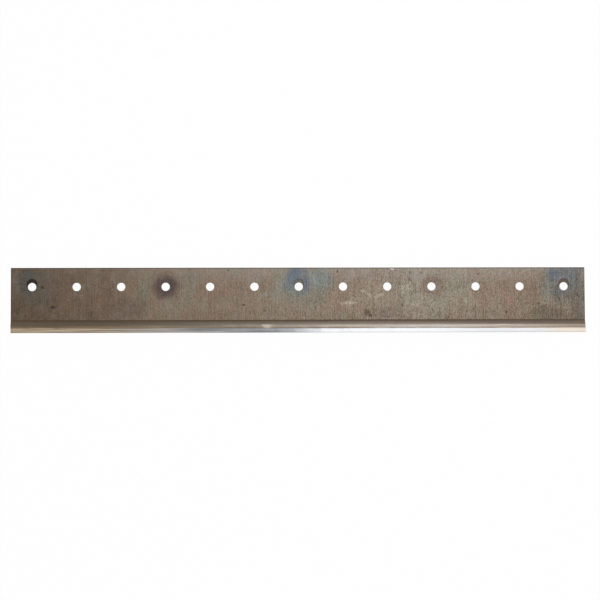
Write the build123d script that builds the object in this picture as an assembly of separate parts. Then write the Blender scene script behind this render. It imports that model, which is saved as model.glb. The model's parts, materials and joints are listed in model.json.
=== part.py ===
# Bedknife of a reel mower: one steel bar with a raised cutting lip along its front edge
# and a row of screw holes that are countersunk from below.
# Millimetres. X runs along the bar, +Y points to the heel edge, Z is up.
# The origin is under the middle of the bar, on the face that it lies on.
import os
from math import radians, tan

from build123d import *

# Plate behind the lip
plate_thickness = 6.35
seat_depth = 60.2  # flat seat, from the heel edge forward to the foot of the lip
heel_break = 0.6  # chamfer along both edges of the heel
end_break = 0.4  # chamfer across the seat at both ends of the bar

# Lip, from its foot forward to the cutting edge
lip_rise = 4.85  # cutting edge above the seat
seat_step = 0.4  # small wall that the grinding of the seat leaves at the foot of the lip
shoulder_depth = 5.3  # slope that climbs from the foot
rolled_land = 4.35  # strip left as it was rolled
rolled_fall = 12.0  # degrees that this strip falls towards the heel
ground_land = 5.1  # strip ground bright, up to the cutting edge
ground_fall = 5.0  # degrees that the ground strip falls towards the heel
front_relief = 10.0  # degrees that the front face leans back below the cutting edge
shoulder_round = 1.2  # at the top of the slope
toe_round = 0.8  # along the bottom of the front face

# Screw holes
hole_count = 13
hole_pitch = 50.8
hole_diameter = 9.5
hole_to_heel = 21.9  # from the row of holes back to the heel edge
end_margin = 24.2  # from the last hole of the row to the end of the bar
hole_wall = 2.2  # straight wall left above each countersink
countersink_angle = 82.0

# Shallow round reliefs in the seat, set back from the first, the middle and the last hole
relief_diameter = 12.4
relief_setback = 3.0
relief_depth = 0.8

# Places that follow from the sizes above
row_length = (hole_count - 1) * hole_pitch
length = row_length + 2 * end_margin
width = seat_depth + shoulder_depth + rolled_land + ground_land
heel_y = width / 2
foot_y = heel_y - seat_depth
ground_y = -width / 2 + ground_land
hole_y = heel_y - hole_to_heel
edge_z = plate_thickness + lip_rise
ground_z = edge_z - ground_land * tan(radians(ground_fall))
rolled_z = ground_z - rolled_land * tan(radians(rolled_fall))
countersink_depth = plate_thickness - hole_wall


def lip_section():
    """Section across the bar, in the YZ plane, with its rounded and broken corners."""
    heel_bottom = (heel_y, 0)
    heel_top = (heel_y, plate_thickness)
    foot = (foot_y, plate_thickness)
    step_top = (foot_y, plate_thickness + seat_step)
    slope_top = (foot_y - shoulder_depth, rolled_z)
    ground_back = (ground_y, ground_z)
    cutting_edge = (-width / 2, edge_z)
    toe = (-width / 2 + edge_z * tan(radians(front_relief)), 0)

    outline = Polyline(
        heel_bottom, heel_top, foot, step_top, slope_top, ground_back, cutting_edge, toe, close=True
    )
    section = make_face(outline)

    def corner(point):
        return section.vertices().sort_by_distance(Vector(*point))[0]

    section = chamfer([corner(heel_bottom), corner(heel_top)], heel_break)
    section = fillet(corner(slope_top), shoulder_round)
    return fillet(corner(toe), toe_round)


def screw_hole():
    """Cutter for one hole, on the Z axis: a straight hole that opens into a cone at the underside."""
    cone_radius = hole_diameter / 2 + countersink_depth * tan(radians(countersink_angle / 2))
    straight = Cylinder(
        hole_diameter / 2, 2 * plate_thickness, align=(Align.CENTER, Align.CENTER, Align.MIN)
    )
    cone = Cone(
        cone_radius, hole_diameter / 2, countersink_depth, align=(Align.CENTER, Align.CENTER, Align.MIN)
    )
    return straight + cone


def seat_relief():
    """Cutter for one shallow relief beside a hole on the Z axis."""
    disc = Cylinder(
        relief_diameter / 2, plate_thickness, align=(Align.CENTER, Align.CENTER, Align.MIN)
    )
    return Pos(0, relief_setback, plate_thickness - relief_depth) * disc


def bedknife():
    """The bar with its lip, broken end edges, holes and reliefs."""
    bar = extrude(Plane.YZ * lip_section(), length / 2, both=True)

    seat = bar.faces().filter_by(Axis.Z).sort_by(Axis.Z)[-1]
    seat_ends = seat.edges().filter_by(Axis.Y)
    bar = chamfer(seat_ends, end_break)

    hole_places = [Pos(i * hole_pitch - row_length / 2, hole_y, 0) for i in range(hole_count)]
    relief_places = [hole_places[0], hole_places[hole_count // 2], hole_places[-1]]
    bar -= [place * screw_hole() for place in hole_places]
    bar -= [place * seat_relief() for place in relief_places]
    return bar


os.makedirs("parts", exist_ok=True)
export_step(bedknife(), "parts/bedknife.step")
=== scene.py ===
# %% [markdown]
# # A reel mower bedknife
# The bedknife is the fixed blade of a reel mower: the turning reel shears the grass against its lip.
# It is one steel bar. This lesson loads the measured bar as a frame, rebuilds it with finer edges,
# and then spends most of its cells on the finish: ground, oiled and heat-tinted steel.

# %% Load the measured frame
import json
from math import atan2, cos, radians, sin, tan

import bmesh
import bpy
from mathutils import Matrix, Vector


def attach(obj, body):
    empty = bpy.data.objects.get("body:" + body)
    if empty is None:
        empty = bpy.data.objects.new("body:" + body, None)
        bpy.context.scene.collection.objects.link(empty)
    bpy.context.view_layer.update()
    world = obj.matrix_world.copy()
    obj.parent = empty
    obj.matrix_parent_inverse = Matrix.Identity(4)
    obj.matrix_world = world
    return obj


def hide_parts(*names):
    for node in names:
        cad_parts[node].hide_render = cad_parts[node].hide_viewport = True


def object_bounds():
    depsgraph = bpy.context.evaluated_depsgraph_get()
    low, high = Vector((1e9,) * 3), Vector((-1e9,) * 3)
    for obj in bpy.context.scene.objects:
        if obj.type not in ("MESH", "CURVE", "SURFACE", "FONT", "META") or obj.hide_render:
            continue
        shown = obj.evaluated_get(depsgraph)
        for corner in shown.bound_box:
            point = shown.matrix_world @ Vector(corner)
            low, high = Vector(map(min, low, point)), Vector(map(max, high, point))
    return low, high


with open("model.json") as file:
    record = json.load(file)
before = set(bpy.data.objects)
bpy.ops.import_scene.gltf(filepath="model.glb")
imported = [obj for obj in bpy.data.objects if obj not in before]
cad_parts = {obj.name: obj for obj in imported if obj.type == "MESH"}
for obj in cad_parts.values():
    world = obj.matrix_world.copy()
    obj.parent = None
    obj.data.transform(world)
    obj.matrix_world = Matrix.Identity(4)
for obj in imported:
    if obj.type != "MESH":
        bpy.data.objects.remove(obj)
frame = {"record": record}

cad_low, cad_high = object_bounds()
print("CAD box in metres:", [round(v, 4) for v in cad_low], [round(v, 4) for v in cad_high])

# %% [markdown]
# ## Sizes
# The frame already knows the length, the width, the seat height and where the screws go, so those are
# read from it. Only the lip, the depths of the cuts and the small rounds are written again, because a box
# and a list of mounts can't say them.

# %% Sizes of the bar
MM = 0.001
mounts = {mount["name"]: mount for mount in frame["record"]["mounts"]}
row = mounts["screws_01_13"]
middle_pair = mounts["screws_07_08"]

half_length = cad_high[0]
front_y = cad_low[1]
heel_y = cad_high[1]
edge_z = cad_high[2]
seat_z = row["pos_m"][2]
hole_y = row["pos_m"][1]
hole_radius = row["dims"]["hole_r_mm"] * MM
hole_pitch = middle_pair["dims"]["spacing_x_mm"] * MM
row_length = row["dims"]["spacing_x_mm"] * MM
hole_count = round(row_length / hole_pitch) + 1

ground_land = 5.1 * MM
ground_fall = radians(5)
rolled_land = 4.35 * MM
rolled_fall = radians(12)
shoulder_depth = 5.3 * MM
seat_step = 0.4 * MM
front_relief = radians(10)
hole_wall = 2.2 * MM
countersink_slope = radians(41)
relief_radius = 6.2 * MM
relief_setback = 3.0 * MM
relief_depth = 0.8 * MM

heel_round = 0.7 * MM
foot_round = 0.1 * MM
step_round = 0.12 * MM
shoulder_round = 1.2 * MM
border_round = 0.3 * MM
edge_round = 0.06 * MM
toe_round = 0.8 * MM

ground_y = front_y + ground_land
rolled_y = ground_y + rolled_land
foot_y = rolled_y + shoulder_depth
ground_z = edge_z - ground_land * tan(ground_fall)
rolled_z = ground_z - rolled_land * tan(rolled_fall)
print(f"{hole_count} holes on {hole_pitch / MM:.1f} mm centres, seat at {seat_z / MM:.2f} mm")

# %% [markdown]
# ## Camera
# The photo looks almost straight down from a few metres, with the bar's front edge a little nearer.
# A camera looks along its own -Z with +Y up, so one that has no rotation already looks at the floor.
# Three small turns and a step back along the view are enough.

# %% Camera over the bar
VIEW_DISTANCE = 3.0
VIEW_PITCH = radians(-4.0)
VIEW_YAW = radians(2.0)
VIEW_ROLL = radians(0.1)
FRAME_PX = 600
FOCAL_PX = 2618.6
SENSOR_WIDTH = 36
AIM = Vector((1.3 * MM, 0.16 * MM, seat_z))

turn = (
    Matrix.Rotation(VIEW_ROLL, 3, "Z")
    @ Matrix.Rotation(VIEW_YAW, 3, "Y")
    @ Matrix.Rotation(VIEW_PITCH, 3, "X")
)
step_back = Matrix.Translation((0, 0, VIEW_DISTANCE))
camera_data = bpy.data.cameras.new("overhead_camera")
camera_data.sensor_width = SENSOR_WIDTH
camera_data.lens = FOCAL_PX / FRAME_PX * SENSOR_WIDTH
camera = bpy.data.objects.new("overhead_camera", camera_data)
camera.matrix_world = Matrix.Translation(AIM) @ turn.inverted().to_4x4() @ step_back
bpy.context.scene.collection.objects.link(camera)
bpy.context.scene.camera = camera
bpy.context.scene.view_settings.view_transform = "Standard"
print("camera at", [round(v, 3) for v in camera.matrix_world.translation])

# %% [markdown]
# ## Section of the bar
# The section is a polygon of eight corners, from the heel round to the toe. A real bar has no perfectly
# sharp corner, and a tiny round is what catches the light, so every corner becomes a short arc.
# The arc touches both sides of its corner, which fixes its centre.

# %% Corners and rounds
section_corners = [
    # place across the bar and height, radius of the round
    ((heel_y, 0.0), heel_round),
    ((heel_y, seat_z), heel_round),
    ((foot_y, seat_z), foot_round),
    ((foot_y, seat_z + seat_step), step_round),
    ((rolled_y, rolled_z), shoulder_round),
    ((ground_y, ground_z), border_round),
    ((front_y, edge_z), edge_round),
    ((front_y + edge_z * tan(front_relief), 0.0), toe_round),
]
ARC_STEPS = 6


def inset_corners(corners, distance):
    """Move every side of the polygon inwards by one distance."""
    places = [Vector(place) for place, _ in corners]
    moved = []
    for i, (_, radius) in enumerate(corners):
        before = (places[i] - places[i - 1]).normalized()
        after = (places[(i + 1) % len(places)] - places[i]).normalized()
        inward_before = Vector((-before.y, before.x))
        inward_after = Vector((-after.y, after.x))
        step = distance / (1 + inward_before.dot(inward_after))
        moved.append((places[i] + (inward_before + inward_after) * step, radius))
    return moved


def rounded_outline(corners):
    """Replace each corner by an arc that touches both of its sides."""
    places = [Vector(place) for place, _ in corners]
    outline = []
    for i, (_, radius) in enumerate(corners):
        to_before = (places[i - 1] - places[i]).normalized()
        to_after = (places[(i + 1) % len(places)] - places[i]).normalized()
        half_angle = to_before.angle(to_after) / 2
        centre = places[i] + (to_before + to_after).normalized() * radius / sin(half_angle)
        reach = radius / tan(half_angle)
        first = places[i] + to_before * reach - centre
        last = places[i] + to_after * reach - centre
        start = atan2(first.y, first.x)
        sweep = first.angle_signed(last)
        for k in range(ARC_STEPS + 1):
            angle = start - sweep * k / ARC_STEPS
            outline.append(centre + Vector((cos(angle), sin(angle))) * radius)
    return outline


print(len(rounded_outline(section_corners)), "points round the section")

# %% [markdown]
# ## The bar
# The outline is repeated at a few stations along X and skinned with quads. The first and the last station
# are drawn in a little, which breaks the edges of the sawn ends.

# %% Skin the section along the bar
END_BREAK = 0.35 * MM


def skin_bar():
    """A closed bar through four copies of the section."""
    whole = rounded_outline(section_corners)
    drawn_in = rounded_outline(inset_corners(section_corners, END_BREAK))
    stations = [
        (-half_length, drawn_in),
        (-half_length + END_BREAK, whole),
        (half_length - END_BREAK, whole),
        (half_length, drawn_in),
    ]
    mesh = bmesh.new()
    rings = [[mesh.verts.new((x, p.x, p.y)) for p in points] for x, points in stations]
    for near, far in zip(rings, rings[1:]):
        for i in range(len(near)):
            mesh.faces.new((near[i - 1], near[i], far[i], far[i - 1]))
    mesh.faces.new(rings[0])
    mesh.faces.new(rings[-1])
    bmesh.ops.recalc_face_normals(mesh, faces=mesh.faces)
    data = bpy.data.meshes.new("bar")
    mesh.to_mesh(data)
    mesh.free()
    return data


bar = bpy.data.objects.new("bar", skin_bar())
bpy.context.scene.collection.objects.link(bar)
print("bar:", len(bar.data.polygons), "faces before drilling")

# %% [markdown]
# ## Shader arithmetic
# A finish made of nodes is really a formula. Writing it as Python expressions keeps it readable, so a small
# class wraps a socket and turns +, -, * and / into Math nodes. Every other node comes from one method.

# %% A wire and a finish
class Wire:
    """An output socket that can be used in arithmetic."""

    def __init__(self, finish, socket):
        self.finish = finish
        self.socket = socket

    def __add__(self, other):
        return self.finish.math("ADD", self, other)

    def __sub__(self, other):
        return self.finish.math("SUBTRACT", self, other)

    def __mul__(self, other):
        return self.finish.math("MULTIPLY", self, other)

    def __truediv__(self, other):
        return self.finish.math("DIVIDE", self, other)

    def __radd__(self, other):
        return self.finish.math("ADD", other, self)

    def __rsub__(self, other):
        return self.finish.math("SUBTRACT", other, self)

    def __rmul__(self, other):
        return self.finish.math("MULTIPLY", other, self)


class Finish:
    """A node tree, of a material, of the world or of a modifier, as a formula."""

    def __init__(self, tree):
        self.tree = tree
        tree.nodes.clear()

    def node(self, kind, settings=None, sockets=None):
        """Add a node: its settings first, then a value or a wire for each socket."""
        made = self.tree.nodes.new(kind)
        for name, value in (settings or {}).items():
            setattr(made, name, value)
        for name, value in (sockets or {}).items():
            self.feed(made, name, value)
        return made

    def feed(self, node, name, value):
        socket = next(s for s in node.inputs if name in (s.identifier, s.name))
        if isinstance(value, Wire):
            self.tree.links.new(value.socket, socket)
        else:
            socket.default_value = value

    def out(self, node, name):
        return Wire(self, next(s for s in node.outputs if name in (s.identifier, s.name)))

    def math(self, operation, *values):
        made = self.tree.nodes.new("ShaderNodeMath")
        made.operation = operation
        for socket, value in zip(made.inputs, values):
            if isinstance(value, Wire):
                self.tree.links.new(value.socket, socket)
            else:
                socket.default_value = value
        return Wire(self, made.outputs[0])

    def least(self, a, b):
        return self.math("MINIMUM", a, b)

    def most(self, a, b):
        return self.math("MAXIMUM", a, b)

    def ease(self, value, start, end):
        """0 before start, 1 after end, and a smooth step between them. Start may be the larger one."""
        made = self.node(
            "ShaderNodeMapRange",
            {"interpolation_type": "SMOOTHSTEP"},
            {"Value": value, "From Min": start, "From Max": end, "To Min": 0.0, "To Max": 1.0},
        )
        return self.out(made, "Result")

    def vector(self, x, y, z):
        return self.out(self.node("ShaderNodeCombineXYZ", None, {"X": x, "Y": y, "Z": z}), "Vector")

    def noise(self, vector, detail, rough):
        """Smooth noise, about 0.5 in the mean, with features of about one unit."""
        sockets = {"Vector": vector, "Scale": 1.0, "Detail": detail, "Roughness": rough}
        return self.out(self.node("ShaderNodeTexNoise", None, sockets), "Fac")

    def mix(self, low, high, amount, blend="MIX"):
        """A colour between two colours."""
        made = self.node(
            "ShaderNodeMix",
            {"data_type": "RGBA", "blend_type": blend},
            {"Factor_Float": amount, "A_Color": low, "B_Color": high},
        )
        return self.out(made, "Result_Color")

    def shade(self, colour, factor):
        """A colour, or a vector, times a factor."""
        made = self.node("ShaderNodeVectorMath", {"operation": "SCALE"}, {"Vector": colour, "Scale": factor})
        return self.out(made, "Vector")

    def ramp(self, value, stops):
        """A colour read along a ramp of (place, colour) stops."""
        made = self.node("ShaderNodeValToRGB", None, {"Fac": value})
        elements = made.color_ramp.elements
        while len(elements) < len(stops):
            elements.new(1.0)
        for element, (place, colour) in zip(elements, stops):
            element.position = place
            element.color = colour
        return self.out(made, "Color")


def srgb(red, green, blue):
    """A colour as read off a screen, 0 to 255, as the linear value that shaders work in."""
    def linear(value):
        value = value / 255
        return value / 12.92 if value <= 0.04045 else ((value + 0.055) / 1.055) ** 2.4
    return (linear(red), linear(green), linear(blue), 1.0)


steel = bpy.data.materials.new("patinated_steel")
steel.use_nodes = True
finish = Finish(steel.node_tree)
print("empty finish ready")

# %% [markdown]
# ## Places on the seat
# Stains and pits are placed one by one. It is easiest to point at them in the photo, so they are given in
# its pixels, and one function turns a pixel into millimetres on the seat. The middle hole is the shared
# point.
# From here on the finish works in millimetres, so the places that it needs are turned into them once.

# %% From photo pixels to the seat
PX_PER_MM = FOCAL_PX / VIEW_DISTANCE * MM
MIDDLE_HOLE_PX = (298.9, 286.8)
LEFT_END_PX = (10, 300)
# How far a face has to look up, or to the front: where its finish starts and where it is full
FACES_UP = (0.3, 0.6)
FACES_FRONT = (-0.6, -0.9)

end_mm = half_length / MM
front_mm = front_y / MM
ground_mm = ground_y / MM
rolled_mm = rolled_y / MM
foot_mm = foot_y / MM
hole_mm = hole_y / MM
heel_mm = heel_y / MM
seat_mm = seat_z / MM


def on_seat(px, py):
    """Millimetres across the seat from a place in the photo."""
    return ((px - MIDDLE_HOLE_PX[0]) / PX_PER_MM, hole_mm - (py - MIDDLE_HOLE_PX[1]) / PX_PER_MM)


place_node = finish.node("ShaderNodeTexCoord")
place_in_mm = finish.shade(finish.out(place_node, "Object"), 1 / MM)
split = finish.node("ShaderNodeSeparateXYZ", None, {"Vector": place_in_mm})
x, y, z = (finish.out(split, axis) for axis in "XYZ")
facing = finish.node("ShaderNodeSeparateXYZ", None, {"Vector": finish.out(place_node, "Normal")})
on_top = finish.ease(finish.out(facing, "Z"), *FACES_UP)
in_front = finish.ease(finish.out(facing, "Y"), *FACES_FRONT)
print("left end of the bar at", [round(v) for v in on_seat(*LEFT_END_PX)], "mm")

# %% [markdown]
# ## Shared noises
# Several layers use the same few noises: a slow one for blotches, two middling ones that fray the edge of
# stains, and stretched ones. The seat was ground across its width, so its streaks run along Y. The lip was
# ground along its length, so its streaks run along X. Each noise is stretched by the sizes of its features.

# %% Noises
SIZE_IN_HEIGHT = 4.0
NOISE_ROUGH = 0.55
LIP_STREAK_LENGTH = 70.0
LIP_STREAK_WIDTH = 1.1
LIP_NOISE_ROUGH = 0.6
BROAD_FRAY = 12.0
FINE_FRAY = 6.0


def noise_of(size_x, size_y, seed, detail=2.0):
    """Noise with features of about these sizes, in millimetres."""
    place = finish.vector(x / size_x + seed, y / size_y, z / SIZE_IN_HEIGHT + seed)
    return finish.noise(place, detail, NOISE_ROUGH)


def swing(noise):
    """A noise as a swing to both sides of zero."""
    return noise - 0.5


slow = noise_of(34.0, 48.0, 0.0, 3.0)
middling = noise_of(9.0, 14.0, 41.0, 3.0)
middling_too = noise_of(9.0, 14.0, 77.0, 3.0)
mottle = noise_of(9.0, 12.0, 91.0)
mottle_too = noise_of(10.0, 13.0, 17.0)
grain = noise_of(0.5, 1.8, 13.0, 1.0)
grain_too = noise_of(0.8, 1.4, 59.0, 1.0)
long_streak = noise_of(0.8, 45.0, 23.0, 1.0)
short_streak = noise_of(0.5, 5.0, 31.0, 1.0)
lip_place = finish.vector(x / LIP_STREAK_LENGTH, y / LIP_STREAK_WIDTH, z / LIP_STREAK_WIDTH + 7)
along = finish.noise(lip_place, 2.0, LIP_NOISE_ROUGH)
shift_x = swing(middling) * BROAD_FRAY + swing(grain) * FINE_FRAY
shift_y = swing(middling_too) * BROAD_FRAY + swing(grain_too) * FINE_FRAY


def stain(px, py, reach_x, reach_y):
    """A frayed oval: 1 in its middle, falling to 0 at its rim. Reaches are in photo pixels."""
    cx, cy = on_seat(px, py)
    u = (x + shift_x - cx) / (reach_x / PX_PER_MM)
    v = (y + shift_y - cy) / (reach_y / PX_PER_MM)
    return finish.most(1 - finish.math("SQRT", u * u + v * v), 0.0)


print("noises ready")

# %% [markdown]
# ## Seat patina
# The broad seat is ground steel under years of oil. It is dark brown at the left end, warm taupe in the
# middle, and greyer to the right, so a ramp along X gives the ground tone and noises break it up.
# Places along the bar are millimetres from its middle.

# %% Seat tone
SEAT_TONES = [
    # pixel along the bar, colour
    (10, (107, 90, 72)),
    (50, (110, 91, 75)),
    (110, (119, 100, 85)),
    (160, (142, 124, 107)),
    (220, (140, 122, 106)),
    (290, (146, 130, 114)),
    (360, (142, 126, 111)),
    (430, (143, 131, 116)),
    (480, (140, 124, 109)),
    (530, (133, 114, 99)),
    (586, (114, 103, 92)),
]


def share_along(place):
    """How far along the bar a place in millimetres is, from 0 at the left end to 1."""
    return (place + end_mm) / (2 * end_mm)


def stops_along(tones):
    """Ramp stops from tones that are given at photo pixels."""
    stops = []
    for px, tone in tones:
        place, _ = on_seat(px, LEFT_END_PX[1])
        stops.append((min(max(share_along(place), 0.0), 1.0), srgb(*tone)))
    return stops


seat = finish.ramp(share_along(x + shift_x), stops_along(SEAT_TONES))

SAGE = srgb(138, 135, 119)
ROSE = srgb(144, 117, 101)
UMBER = srgb(96, 79, 65)
PALE = srgb(162, 154, 146)
hue_play = 0.4 + 0.6 * finish.ease(x, -290.0, -140.0)
HUES = [
    # noise, where the hue starts and where it is full, colour, strength
    (slow, 0.52, 0.72, SAGE, hue_play * 0.35),
    (slow, 0.48, 0.30, ROSE, hue_play * 0.35),
    (middling, 0.55, 0.78, UMBER, 0.25),
    (middling_too, 0.56, 0.78, SAGE, hue_play * 0.25),
    (mottle, 0.46, 0.70, ROSE, hue_play * 0.45),
    (mottle_too, 0.48, 0.70, SAGE, hue_play * 0.45),
]
for noise, start, full, hue, strength in HUES:
    seat = finish.mix(seat, hue, finish.ease(noise, start, full) * strength)

paleness = 0.06 + 0.38 * finish.ease(x, -220.0, -40.0)
seat = finish.mix(seat, PALE, finish.ease(y + shift_y, hole_mm, heel_mm) * paleness)
near_foot = finish.ease(y + shift_y, foot_mm + 18.0, foot_mm + 6.0)
seat = finish.shade(seat, 1.065 - 0.08 * near_foot)
print(len(SEAT_TONES), "tones along the seat")

# %% [markdown]
# Oil that dried to a green-grey stands in patches, most of them between two holes.

# %% Sage patches
SAGE_PATCHES = [
    # pixel, reach, strength
    (17, 286, 6, 22, 0.25),
    (143, 290, 8, 22, 0.6),
    (190, 283, 14, 20, 0.6),
    (184, 303, 14, 10, 0.5),
    (238, 272, 9, 8, 0.5),
    (279, 288, 12, 16, 0.6),
    (324, 284, 14, 18, 0.6),
    (318, 301, 14, 8, 0.5),
    (408, 293, 13, 14, 0.7),
    (438, 301, 28, 15, 0.45),
    (462, 288, 14, 16, 0.6),
    (470, 300, 8, 12, 0.4),
    (549, 289, 9, 19, 0.7),
]
for px, py, reach_x, reach_y, strength in SAGE_PATCHES:
    seat = finish.mix(seat, SAGE, finish.ease(stain(px, py, reach_x, reach_y), 0.0, 0.7) * strength)
print(len(SAGE_PATCHES), "sage patches")

# %% [markdown]
# ## Heat tints
# Steel that has been hot keeps a film of oxide whose colour tells how hot it was: brown, then purple, then
# blue, then grey. Every third hole has such a halo, laid down here from its outer colours inwards.
# A few plain stains between the halos are laid down in the same way.

# %% Halos round the holes, and stains
TINTS = [
    # pixel, reach, strength, colour
    (37, 288, 26, 28, 0.6, (103, 96, 83)),
    (34, 300, 15, 9, 0.5, (99, 94, 84)),
    (50, 285, 12, 14, 0.55, (116, 101, 86)),
    (29, 282, 15, 19, 0.85, (94, 91, 87)),
    (19, 304, 12, 14, 0.5, (92, 79, 61)),
    (130, 307, 27, 13, 0.4, (112, 92, 79)),
    (166.5, 286.5, 23, 20, 0.45, (120, 99, 87)),
    (166.5, 287.5, 16, 15, 0.9, (88, 73, 73)),
    (301, 285, 36, 32, 0.6, (138, 136, 124)),
    (299, 289, 15, 13, 0.8, (124, 130, 126)),
    (320, 278, 16, 14, 0.75, (134, 140, 138)),
    (281, 279, 7, 12, 0.45, (150, 146, 134)),
    (295, 276, 11, 16, 0.95, (110, 119, 130)),
    (301, 270, 10, 5, 0.6, (112, 119, 132)),
    (287.5, 286, 6, 8, 0.7, (118, 127, 130)),
    (306.5, 283, 6, 12, 0.75, (106, 114, 127)),
    (418, 274, 13, 10, 0.6, (160, 153, 144)),
    (390, 312, 17, 8, 0.45, (126, 113, 100)),
    (421, 316, 10, 5, 0.6, (158, 147, 133)),
    (418, 284, 7, 9, 0.5, (160, 148, 134)),
    (433, 286, 14.5, 15, 0.85, (130, 109, 97)),
    (563, 284, 28, 27, 0.7, (117, 114, 108)),
    (563, 276, 20, 14, 0.8, (113, 117, 124)),
    (554, 275, 8, 8, 0.7, (104, 108, 124)),
    (559, 292, 8, 7, 0.8, (102, 105, 111)),
    (568, 290, 6, 5, 0.7, (101, 102, 108)),
    (581, 271, 9, 7, 0.6, (110, 102, 95)),
    (577, 283, 8, 18, 0.7, (106, 107, 111)),
    (580, 300, 10, 18, 0.5, (108, 99, 91)),
    (547, 313, 23, 10, 0.8, (108, 96, 83)),
]
for px, py, reach_x, reach_y, strength, tint in TINTS:
    nearness = stain(px, py, reach_x, reach_y)
    seat = finish.mix(seat, srgb(*tint), finish.ease(nearness, 0.0, 0.6) * strength)
print(len(TINTS), "tints")

# %% [markdown]
# ## Grinding marks and pits
# The grinding left fine streaks across the seat, stronger to the right. They are dotted, because the oil
# film broke up along them, so a fine grain weighs more than the streaks. Oil is brown and bare steel is not,
# so blue swings more than red, and what is dark is a little warmer. Rust has eaten small pits, most of them
# in the right half. The large ones are listed one by one.

# %% Streaks, specks and pits
LEFT_CONTRAST = 1.25
CONTRAST_STEPS = [
    # where along the bar it starts and where it is full, gain
    (-150.0, 80.0, 0.65),
    (20.0, 60.0, 0.20),
    (190.0, 225.0, -0.20),
    (258.0, 288.0, 0.45),
]
contrast = LEFT_CONTRAST
for start, full, gain in CONTRAST_STEPS:
    contrast = contrast + gain * finish.ease(x, start, full)
contrast = contrast * (1 - 0.28 * finish.ease(y, hole_mm + 2.0, heel_mm - 8.0))
marks = 0.5 * swing(short_streak) + 1.15 * swing(grain) + 0.42 * swing(long_streak) + 0.34 * swing(middling)
OIL_BALANCE = (0.89, 1.0, 1.14)
DARKEST_MARK = 0.25
marked = finish.vector(*(finish.most(1 + contrast * marks * share, DARKEST_MARK) for share in OIL_BALANCE))
seat = finish.mix(seat, marked, 1.0, "MULTIPLY")

MOSS_CAST = (0.92, 1.0, 0.90, 1.0)
RUSSET_CAST = (1.0, 0.93, 0.88, 1.0)
fine_hue = noise_of(3.0, 3.6, 63.0, 1.0)
cast = 0.6 + 0.6 * finish.ease(x, 210.0, 270.0)
seat = finish.mix(seat, MOSS_CAST, finish.ease(fine_hue, 0.5, 0.7) * cast, "MULTIPLY")
seat = finish.mix(seat, RUSSET_CAST, finish.ease(fine_hue, 0.5, 0.3) * cast, "MULTIPLY")

SPECK = srgb(52, 44, 38)
PIT_FLOOR = srgb(48, 42, 36)
PIT_FRAY = 5.0
speck_share = 0.27 + 0.06 * finish.ease(x, -80.0, 120.0) + 0.05 * swing(slow)
specks = finish.ease(grain_too, speck_share, speck_share - 0.08)
seat = finish.mix(seat, SPECK, specks * 0.4)

PITS = [
    # pixel, reach, strength
    (53.5, 307.3, 2.4, 1.6, 1.0),
    (49.0, 301.0, 0.8, 2.6, 0.4),
    (54.5, 300.5, 0.7, 2.2, 0.4),
    (43.2, 287.2, 1.4, 1.4, 1.0),
    (26.5, 316.0, 0.9, 1.4, 0.6),
    (19.5, 308.5, 1.2, 2.2, 0.5),
    (88.5, 305.5, 0.8, 1.6, 0.5),
    (91.5, 314.5, 0.7, 3.0, 0.6),
    (133.0, 306.0, 4.0, 1.6, 0.3),
    (189.5, 278.0, 0.8, 3.0, 0.4),
    (228.5, 270.3, 1.1, 1.1, 0.7),
    (243.5, 305.2, 1.8, 1.1, 0.8),
    (265.0, 310.5, 1.4, 1.4, 0.5),
    (338.0, 271.8, 1.1, 1.5, 0.7),
    (367.5, 313.0, 3.6, 3.6, 0.55),
    (370.5, 316.0, 2.0, 1.6, 0.7),
    (388.0, 316.5, 3.4, 1.0, 0.45),
    (402.5, 305.5, 1.2, 1.4, 0.6),
    (410.5, 273.2, 1.2, 2.2, 0.6),
    (410.0, 279.7, 1.0, 1.4, 0.7),
    (415.5, 291.5, 3.0, 2.8, 0.25),
    (421.5, 273.0, 0.9, 1.2, 0.5),
    (478.7, 274.5, 0.9, 1.3, 0.7),
    (500.0, 304.0, 2.6, 1.0, 0.4),
    (507.0, 312.5, 0.8, 1.7, 0.9),
    (526.0, 304.0, 2.4, 0.9, 0.35),
    (540.0, 304.0, 2.6, 1.2, 0.45),
    (560.5, 299.0, 1.0, 1.8, 0.6),
    (569.0, 297.0, 1.2, 1.1, 0.6),
    (578.3, 279.5, 0.9, 1.1, 0.6),
    (576.0, 304.0, 2.2, 1.2, 0.4),
]
pit_depth = specks * 0.3
for px, py, reach_x, reach_y, strength in PITS:
    cx, cy = on_seat(px, py)
    u = (x + swing(grain) * PIT_FRAY - cx) / (reach_x / PX_PER_MM)
    v = (y + swing(grain_too) * PIT_FRAY - cy) / (reach_y / PX_PER_MM)
    pit_depth = finish.most(pit_depth, finish.ease(u * u + v * v, 1.8, 0.1) * strength)
seat = finish.mix(seat, PIT_FLOOR, finish.ease(pit_depth, 0.05, 0.8) * 0.8)
print(len(PITS), "pits by hand, specks by rule")
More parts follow.
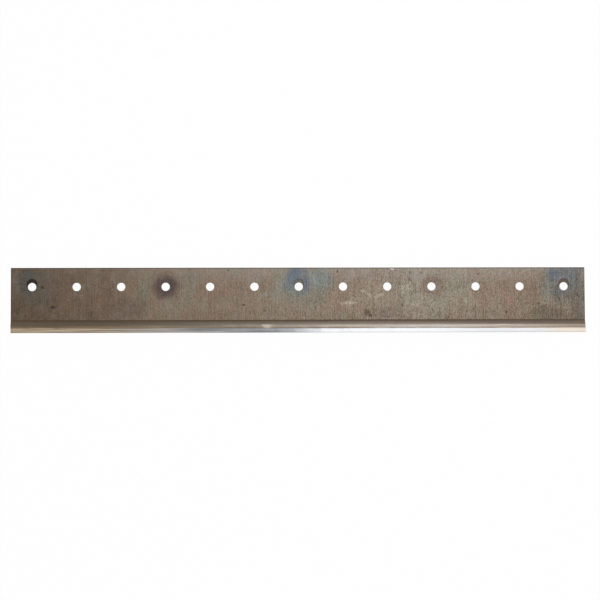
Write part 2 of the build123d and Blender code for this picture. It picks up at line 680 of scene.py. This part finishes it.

# %% [markdown]
# ## Worn strokes
# Where something rubbed through the oil, the bare steel shows as soft pale strokes and patches of flecks.
# A stroke is the distance to a short line. Fine noise is added to it before the rim is cut, so that it
# breaks into flecks as the real ones do. A few thin scratches are dark, and one chip on the heel edge is
# bare steel with a painted highlight on it.

# %% Scratches, pale strokes and flecks
SCRATCH = srgb(76, 66, 55)
BARE_STEEL = srgb(196, 186, 168)
CHIP_HIGHLIGHT = srgb(236, 232, 226)
STROKE_FADE = 1.3
SCRATCHES = [
    # from pixel, to pixel, half width in millimetres
    (418.2, 268.5, 418.2, 276.0, 0.6),
    (468.6, 296.5, 468.6, 307.0, 0.6),
    (361.0, 299.0, 361.0, 317.0, 0.5),
    (372.0, 284.0, 372.0, 299.0, 0.5),
]
CHIP = (391.5, 269.2, 393.5, 269.4, 1.0)  # from pixel, to pixel, half width in millimetres
STROKES = [
    # from pixel, to pixel, half width in millimetres
    (362, 291.7, 367, 292.7, 2.5),
    (367, 292.7, 370.5, 296.5, 2.2),
    (376, 297.5, 383, 294.5, 2.5),
    (341, 304.0, 347, 302.8, 2.0),
    (347, 302.8, 355, 303.3, 2.0),
]
FLECK_PATCHES = [
    # pixel, reach, strength
    (436, 300, 44, 22, 0.28),
    (376, 294, 42, 20, 0.22),
    (406, 288, 9, 8, 0.90),
    (408, 298, 6, 7, 0.40),
    (417, 304, 10, 4, 0.75),
    (434, 305, 12, 4, 0.50),
    (466.5, 301, 3, 6, 0.80),
    (348, 303, 10, 5, 0.55),
]


def stroke(ax, ay, bx, by, half_width):
    """1 along a short straight stroke, falling to 0 beside it."""
    ax, ay = on_seat(ax, ay)
    bx, by = on_seat(bx, by)
    run = Vector((bx - ax, by - ay))
    share = ((x - ax) * run.x + (y - ay) * run.y) / run.length_squared
    share = finish.least(finish.most(share, 0.0), 1.0)
    u = x - ax - share * run.x
    v = y - ay - share * run.y
    return finish.ease(finish.math("SQRT", u * u + v * v), half_width * STROKE_FADE, 0.0)


for numbers in SCRATCHES:
    seat = finish.mix(seat, SCRATCH, stroke(*numbers) * 0.5)

strokes = stroke(*STROKES[0])
for numbers in STROKES[1:]:
    strokes = finish.most(strokes, stroke(*numbers))
frayed = 0.9 * strokes + 3.2 * swing(grain_too) + 1.5 * swing(middling_too)
strokes = finish.ease(frayed, 0.15, 1.0) * finish.ease(strokes, 0.0, 0.5)
fleck_zone = 0.05
for px, py, reach_x, reach_y, strength in FLECK_PATCHES:
    patch = finish.ease(stain(px, py, reach_x, reach_y), 0.0, 0.6) * strength
    fleck_zone = finish.most(fleck_zone, patch)
flecks = finish.ease(grain_too, 0.45, 0.60) * fleck_zone
seat = finish.mix(seat, BARE_STEEL, finish.least(strokes * 0.5 + flecks, 0.9))
# Painted highlight on the chip at the heel edge.
seat = finish.mix(seat, CHIP_HIGHLIGHT, stroke(*CHIP) * 0.8)
print(len(SCRATCHES), "scratches,", len(STROKES), "pale strokes,", len(FLECK_PATCHES), "patches of flecks")

# %% [markdown]
# ## Reliefs and edges
# The round reliefs hold old rust. The heel edge and the ends are darkened with painted shade.

# %% Rust in the reliefs, dark edges
RELIEF_RUST = [
    # hole counted from the left, colour
    (1, (56, 45, 37)),
    (7, (116, 113, 105)),
    (13, (104, 87, 79)),
]
# Painted shade: a dark band along the heel edge and along both ends.
EDGE_SHADE = srgb(58, 48, 40)
heel_line = finish.ease(y, heel_mm - 1.6, heel_mm - 0.4)
left_line = finish.ease(x, -end_mm + 2.2, -end_mm + 0.4)
right_line = finish.ease(x, end_mm - 1.2, end_mm - 0.2)
painted_edge_shade = finish.most(finish.most(heel_line * 0.75, left_line * 0.6), right_line * 0.35)
seat = finish.mix(seat, EDGE_SHADE, painted_edge_shade)

relief_floor = seat_mm - relief_depth / MM
under_seat = finish.ease(z, seat_mm - 0.1, seat_mm - 0.3)
over_floor = finish.ease(z, relief_floor - 0.2, relief_floor - 0.05)
rust = srgb(*RELIEF_RUST[0][1])
for number, tint in RELIEF_RUST[1:]:
    hole_x = ((number - 1) * hole_pitch - row_length / 2) / MM
    rust = finish.mix(rust, srgb(*tint), finish.ease(x, hole_x - 40.0, hole_x - 20.0))
along_row = finish.math("PINGPONG", x, row_length / MM / 4)
off_row = finish.math("ABSOLUTE", y - hole_mm)
near_relief = finish.ease(finish.most(along_row, off_row), 16.0, 12.0)
rust_share = under_seat * over_floor * near_relief * 0.95
print("edges and reliefs done")

# %% [markdown]
# ## The lip
# Three strips run along the lip. A dark slope climbs out of the seat: mill scale with painted shade that
# deepens toward its foot, and dirt with painted shade along the foot. A strip left as it was rolled follows,
# half worn shiny, with a painted highlight across it and painted glints. The last strip, up to the cutting
# edge, is ground bright.
# The places of their borders come from the section, and noise frays them a little.

# %% Strips of the lip
OLD_OIL = srgb(87, 72, 54)
SLOPE_SHADE = srgb(98, 86, 76)
RIGHT_SLOPE = srgb(102, 90, 78)
OIL_AT_BORDER = srgb(152, 131, 101)
OIL_AT_TOP = srgb(104, 89, 71)
RIGHT_ROLLED = srgb(138, 124, 110)
COOL_ROLLED = srgb(178, 176, 176)
GLINT_HIGHLIGHT = srgb(232, 222, 204)
FOOT_DIRT_AND_SHADE = srgb(86, 68, 52)
GLINT = (267, 325, 8, 5)  # pixel, reach
left_dirt = finish.ease(x, 90.0, -260.0)
right_dirt = finish.ease(x, 220.0, 330.0)
cool = finish.ease(x, 60.0, 130.0) * finish.ease(x, 230.0, 160.0)
border_fray = 0.4 + 3.0 * finish.ease(x, -230.0, -300.0)
lip_y = y + swing(along) * 0.5 + swing(middling) * border_fray
# The slope's ramp is dark mill scale with painted shade: lighter where it meets the rolled strip, darkest at
# its foot.
slope_share = (lip_y - rolled_mm) / (shoulder_depth / MM)
slope = finish.ramp(slope_share, [
    (0.0, srgb(158, 146, 134)),
    (0.4, srgb(134, 120, 108)),
    (0.8, srgb(106, 91, 77)),
    (1.0, srgb(86, 69, 54)),
])
slope = finish.mix(slope, OLD_OIL, left_dirt * 0.8)
slope = finish.mix(slope, SLOPE_SHADE, finish.ease(x, 130.0, 250.0) * 0.4)
slope = finish.mix(slope, RIGHT_SLOPE, right_dirt * 0.45)
# The rolled strip's ramp is a painted highlight: brightest across its rounded middle, darker toward the
# ground strip.
rolled_share = (lip_y - ground_mm) / (rolled_land / MM)
rolled = finish.ramp(rolled_share, [
    (0.0, srgb(116, 101, 86)),
    (0.2, srgb(156, 142, 127)),
    (0.65, srgb(190, 180, 168)),
    (1.0, srgb(160, 148, 136)),
])
rolled_dirt = finish.mix(OIL_AT_BORDER, OIL_AT_TOP, finish.ease(rolled_share, 0.0, 0.9))
rolled = finish.mix(rolled, rolled_dirt, left_dirt * 0.9)
rolled = finish.mix(rolled, RIGHT_ROLLED, right_dirt * 0.8)
rolled = finish.mix(rolled, COOL_ROLLED, cool * 0.45)
# The rolled strip is lighter right of the middle and in one stretch toward the left end.
lighter_left = finish.ease(x, -290.0, -240.0) * finish.ease(x, -120.0, -200.0)
rolled = finish.shade(rolled, 0.88 + 0.20 * finish.ease(x, 0.0, 50.0) + 0.12 * lighter_left)
# Painted glints: pale streaks along the rolled strip and one pale spot stand in for highlights.
glint = finish.ease(noise_of(24.0, 1.5, 5.0), 0.52, 0.72) * (1 - left_dirt) * (1 - right_dirt)
glint = finish.most(glint * 0.45, finish.ease(stain(*GLINT), 0.0, 0.6) * 0.55)
rolled = finish.mix(rolled, GLINT_HIGHLIGHT, glint)

GROUND_TONES = [
    # pixel along the bar, colour
    (10, (230, 207, 176)),
    (100, (226, 206, 181)),
    (130, (218, 204, 186)),
    (165, (226, 219, 212)),
    (200, (205, 204, 204)),
    (285, (190, 193, 197)),
    (310, (208, 210, 213)),
    (420, (204, 206, 209)),
    (480, (193, 194, 197)),
    (540, (192, 192, 194)),
    (560, (195, 186, 177)),
    (586, (195, 184, 171)),
]
ground = finish.ramp(share_along(x), stops_along(GROUND_TONES))
line_depth = 0.35 + 2.4 * finish.ease(x, 0.0, -100.0)
ground = finish.shade(ground, 1 + line_depth * swing(along))
# Painted shade: the ground strip darkens just behind the cutting edge.
front_line = finish.ease(y, front_mm + 1.5, front_mm + 0.4)
ground = finish.shade(ground, 1 - 0.22 * front_line)

border_shift = finish.ease(x, -160.0, 60.0) * (0.40 - 0.30 * right_dirt) - 0.15
is_ground = finish.ease(lip_y - ground_mm + border_shift, 0.25, -0.25) * on_top
is_rolled = finish.ease(lip_y, rolled_mm + 0.4, rolled_mm - 0.4) * on_top
is_slope = finish.ease(y, foot_mm + 0.05, foot_mm - 0.05)
# A dark line along the foot of the slope: dirt in the corner, with painted shade.
foot_place = foot_mm - 0.5 * finish.ease(x, 120.0, -60.0)
foot_line = finish.ease(finish.math("ABSOLUTE", y - foot_place), 1.1, 0.2)

lip = finish.mix(slope, rolled, is_rolled)
lip = finish.shade(lip, 1 + 0.5 * swing(grain) + 0.6 * swing(along))
colour = finish.mix(seat, lip, is_slope)
colour = finish.mix(colour, FOOT_DIRT_AND_SHADE, foot_line * 0.7)
colour = finish.mix(colour, ground, is_ground)
print("lip strips done")

# %% [markdown]
# ## The other faces
# Everything so far belongs to the faces that look up. The underside, the heel face, the sawn ends and the
# walls of the holes are plain oiled steel, and the front face under the cutting edge is ground along its
# length.

# %% Underside, ends, walls and front
DARK_PLAIN = srgb(104, 92, 80)
LIGHT_PLAIN = srgb(126, 115, 102)
GROUND_FRONT = srgb(168, 164, 158)
OILY_FRONT = srgb(120, 104, 88)
plain = finish.mix(DARK_PLAIN, LIGHT_PLAIN, finish.ease(slow, 0.35, 0.65))
plain = finish.mix(plain, UMBER, finish.ease(middling, 0.50, 0.75) * 0.6)
plain = finish.shade(plain, 1 + 1.2 * swing(grain))
front = finish.mix(GROUND_FRONT, OILY_FRONT, finish.ease(along, 0.40, 0.68) * 0.5)
plain = finish.mix(plain, front, in_front)
colour = finish.mix(plain, colour, on_top)
colour = finish.mix(colour, rust, rust_share)
print("other faces done")

# %% [markdown]
# The ground strip and the front face shine most. Streaks and pits also tilt the surface a little, as a bump.

# %% Sheen and relief of the surface
BUMP_DEPTH = 0.06 * MM
BUMP_STRENGTH = 0.35
metallic = 0.45 + 0.25 * is_rolled + 0.30 * is_ground + 0.35 * in_front
roughness = 0.50 + 0.2 * swing(middling) - 0.10 * is_rolled - 0.24 * is_ground - 0.12 * in_front
height = (short_streak + grain) * (1 - is_slope) * 0.5 - pit_depth * on_top * 2.0 + along * is_slope * 0.4
bump = finish.node(
    "ShaderNodeBump", None, {"Strength": BUMP_STRENGTH, "Distance": BUMP_DEPTH, "Height": height}
)
surface = finish.node("ShaderNodeBsdfPrincipled", None, {
    "Base Color": colour,
    "Metallic": metallic,
    "Roughness": roughness,
    "Specular IOR Level": 0.3,
    "Normal": finish.out(bump, "Normal"),
})
finish.node("ShaderNodeOutputMaterial", None, {"Surface": finish.out(surface, "BSDF")})
print(len(steel.node_tree.nodes), "nodes in the steel")

# %% [markdown]
# ## Drilling the row of holes
# Every hole is the same, so Geometry Nodes drill them: a line of points, a cutter on each point, and one
# boolean. The cutter is a straight cylinder with a cone below for the screw head and a small cone above that
# breaks the edge. A shorter line of points places the shallow reliefs. Where cutters meet, the boolean
# leaves points almost on top of each other, so a last step merges them.

# %% Drill tree
tree = bpy.data.node_groups.new("drill_row", "GeometryNodeTree")
tree.interface.new_socket("Geometry", in_out="INPUT", socket_type="NodeSocketGeometry")
tree.interface.new_socket("Geometry", in_out="OUTPUT", socket_type="NodeSocketGeometry")
EDGE_BREAK = 0.25 * MM
OVERRUN = 0.5 * MM
WELD = 0.002 * MM
SIDES = 96
RELIEF_COUNT = 3
DRILL_SIZES = {
    "Hole Pitch": hole_pitch,
    "Hole Radius": hole_radius,
    "Row Y": hole_y,
    "Seat Height": seat_z,
    "Wall Height": hole_wall,
    "Cone Slope": tan(countersink_slope),
    "Edge Break": EDGE_BREAK,
    "Relief Radius": relief_radius,
    "Relief Setback": relief_setback,
    "Relief Depth": relief_depth,
}
drill_sockets = {}
count_socket = tree.interface.new_socket("Hole Count", in_out="INPUT", socket_type="NodeSocketInt")
material_socket = tree.interface.new_socket("Steel", in_out="INPUT", socket_type="NodeSocketMaterial")
for name in DRILL_SIZES:
    drill_sockets[name] = tree.interface.new_socket(name, in_out="INPUT", socket_type="NodeSocketFloat")
drill = Finish(tree)
given = drill.node("NodeGroupInput")
size = {name: drill.out(given, name) for name in DRILL_SIZES}
holes = drill.out(given, "Hole Count")


def line_of_points(count, spacing, row_y, height):
    """Points along X, centred on the middle of the bar."""
    start = drill.vector((count - 1) * spacing * -0.5, row_y, height)
    made = drill.node("GeometryNodeMeshLine", {"mode": "OFFSET"}, {
        "Count": count, "Start Location": start, "Offset": drill.vector(spacing, 0.0, 0.0),
    })
    return drill.out(made, "Mesh")


def cutters(points, shape):
    """A copy of a cutter on each point, as real mesh."""
    made = drill.node("GeometryNodeInstanceOnPoints", None, {"Points": points, "Instance": shape})
    real = drill.node("GeometryNodeRealizeInstances", None, {"Geometry": drill.out(made, "Instances")})
    return drill.out(real, "Geometry")


def cone(bottom_radius, top_radius, depth):
    made = drill.node("GeometryNodeMeshCone", None, {
        "Vertices": SIDES, "Radius Bottom": bottom_radius, "Radius Top": top_radius, "Depth": depth,
    })
    return drill.out(made, "Mesh")


def cylinder(radius, depth):
    sockets = {"Vertices": SIDES, "Radius": radius, "Depth": depth}
    return drill.out(drill.node("GeometryNodeMeshCylinder", None, sockets), "Mesh")


plate = size["Seat Height"]
straight = cutters(
    line_of_points(holes, size["Hole Pitch"], size["Row Y"], plate * 0.5),
    cylinder(size["Hole Radius"], plate * 3.0),
)
sink = plate - size["Wall Height"]
countersinks = cutters(
    line_of_points(holes, size["Hole Pitch"], size["Row Y"], OVERRUN * -1.0),
    cone(
        size["Hole Radius"] + (sink + OVERRUN) * size["Cone Slope"],
        size["Hole Radius"] - OVERRUN * size["Cone Slope"],
        sink + 2 * OVERRUN,
    ),
)
rims = cutters(
    line_of_points(holes, size["Hole Pitch"], size["Row Y"], plate - size["Edge Break"] * 2.0),
    cone(
        size["Hole Radius"] - size["Edge Break"],
        size["Hole Radius"] + size["Edge Break"] * 3.0,
        size["Edge Break"] * 4.0,
    ),
)
relief_pitch = size["Hole Pitch"] * drill.math("FLOOR", (holes - 1) * 0.5)
reliefs = cutters(
    line_of_points(
        RELIEF_COUNT, relief_pitch, size["Row Y"] + size["Relief Setback"], plate + size["Relief Depth"]
    ),
    cylinder(size["Relief Radius"], size["Relief Depth"] * 4.0),
)
drilled = drill.node("GeometryNodeMeshBoolean", {"operation": "DIFFERENCE", "solver": "EXACT"}, {
    "Mesh 1": drill.out(given, "Geometry"),
})
for cutter in (straight, countersinks, rims, reliefs):
    drill.feed(drilled, "Mesh 2", cutter)
welded = drill.node("GeometryNodeMergeByDistance", None, {
    "Geometry": drill.out(drilled, "Mesh"), "Distance": WELD,
})
dressed = drill.node("GeometryNodeSetMaterial", None, {
    "Geometry": drill.out(welded, "Geometry"), "Material": drill.out(given, "Steel"),
})
drill.node("NodeGroupOutput", None, {"Geometry": drill.out(dressed, "Geometry")})
print(len(tree.nodes), "nodes in the drill tree")

# %% [markdown]
# The tree runs once on the bar. Its result is kept as a plain mesh, at the origin as the CAD node is.

# %% Drill the bar and keep it as a plain mesh
SHARP_ANGLE = radians(28)
modifier = bar.modifiers.new("drill_row", "NODES")
modifier.node_group = tree
modifier[count_socket.identifier] = hole_count
modifier[material_socket.identifier] = steel
for name, value in DRILL_SIZES.items():
    modifier[drill_sockets[name].identifier] = value
evaluated = bar.evaluated_get(bpy.context.evaluated_depsgraph_get())
bedknife_mesh = bpy.data.meshes.new_from_object(evaluated)
bpy.data.objects.remove(bar)

bedknife_mesh.name = "bedknife_bar"
for face in bedknife_mesh.polygons:
    face.use_smooth = True
bedknife_mesh.set_sharp_from_angle(angle=SHARP_ANGLE)
bedknife = bpy.data.objects.new("bedknife_bar", bedknife_mesh)
bpy.context.scene.collection.objects.link(bedknife)
print("drilled bar:", len(bedknife_mesh.vertices), "points,", len(bedknife_mesh.polygons), "faces")

# %% [markdown]
# ## Floor and light
# The photo's background is pure white. The floor is pale, and for what the camera or a mirror-like surface
# sees of it, most of its white comes from a little glow, so the shadow stays faint and soft.

# %% Floor
FLOOR_HALF = 6.0
FLOOR_DROP = 0.05 * MM
FLOOR_GREY = (0.85, 0.85, 0.85, 1.0)
WHITE = (1.0, 1.0, 1.0, 1.0)
GLOW_SHARE = 0.98
floor_mesh = bpy.data.meshes.new("floor")
floor_mesh.from_pydata(
    [(-FLOOR_HALF, -FLOOR_HALF, -FLOOR_DROP), (FLOOR_HALF, -FLOOR_HALF, -FLOOR_DROP),
     (FLOOR_HALF, FLOOR_HALF, -FLOOR_DROP), (-FLOOR_HALF, FLOOR_HALF, -FLOOR_DROP)],
    [], [(0, 1, 2, 3)],
)
floor = bpy.data.objects.new("floor", floor_mesh)
bpy.context.scene.collection.objects.link(floor)
floor_paint = bpy.data.materials.new("pale_floor")
floor_paint.use_nodes = True
paint = Finish(floor_paint.node_tree)
rays = paint.node("ShaderNodeLightPath")
seen = paint.most(
    paint.out(rays, "Is Camera Ray"),
    paint.most(paint.out(rays, "Is Glossy Ray"), paint.out(rays, "Is Transmission Ray")),
)
matt = paint.node("ShaderNodeBsdfDiffuse", None, {"Color": FLOOR_GREY})
glow = paint.node("ShaderNodeEmission", None, {"Color": WHITE, "Strength": 1.0})
both = paint.node("ShaderNodeMixShader", None, {"Fac": seen * GLOW_SHARE})
paint.tree.links.new(matt.outputs["BSDF"], both.inputs[1])
paint.tree.links.new(glow.outputs["Emission"], both.inputs[2])
paint.node("ShaderNodeOutputMaterial", None, {"Surface": paint.out(both, "Shader")})
floor_mesh.materials.append(floor_paint)
print("floor", 2 * FLOOR_HALF, "m wide")

# %% [markdown]
# A bright strip needs something bright to reflect. One large soft panel hangs above the right half, a
# little behind the heel, so the ground strip mirrors it from the middle to the right end. The rest of the
# light is a pale room: white near the horizon and greyer overhead.

# %% Panel and room
PANEL_PLACE = Vector((0.34, 0.27, 0.80))
PANEL_SIZE = (0.60, 0.70)
PANEL_POWER = 1.5
ROOM_OVERHEAD = (0.47, 0.47, 0.475, 1.0)
HORIZON_FADE = (0.45, 0.9)
panel_light = bpy.data.lights.new("soft_panel", "AREA")
panel_light.shape = "RECTANGLE"
panel_light.size, panel_light.size_y = PANEL_SIZE
panel_light.energy = PANEL_POWER
panel = bpy.data.objects.new("soft_panel", panel_light)
panel.location = PANEL_PLACE
bpy.context.scene.collection.objects.link(panel)

world = bpy.data.worlds.new("pale_room")
world.use_nodes = True
bpy.context.scene.world = world
room = Finish(world.node_tree)
direction = room.node("ShaderNodeTexCoord")
direction_split = room.node("ShaderNodeSeparateXYZ", None, {"Vector": room.out(direction, "Generated")})
overhead = room.ease(room.out(direction_split, "Z"), *HORIZON_FADE)
room_colour = room.mix(WHITE, ROOM_OVERHEAD, overhead)
background = room.node("ShaderNodeBackground", None, {"Color": room_colour, "Strength": 1.0})
room.node("ShaderNodeOutputWorld", None, {"Surface": room.out(background, "Background")})
print("light: one panel and a pale room")

# %% [markdown]
# ## Hand over
# The finished bar stands for the CAD node, rides on the one body of the frame, and takes the steel slot.

# %% Hand over to the frame
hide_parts("bedknife")
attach(bedknife, "root")
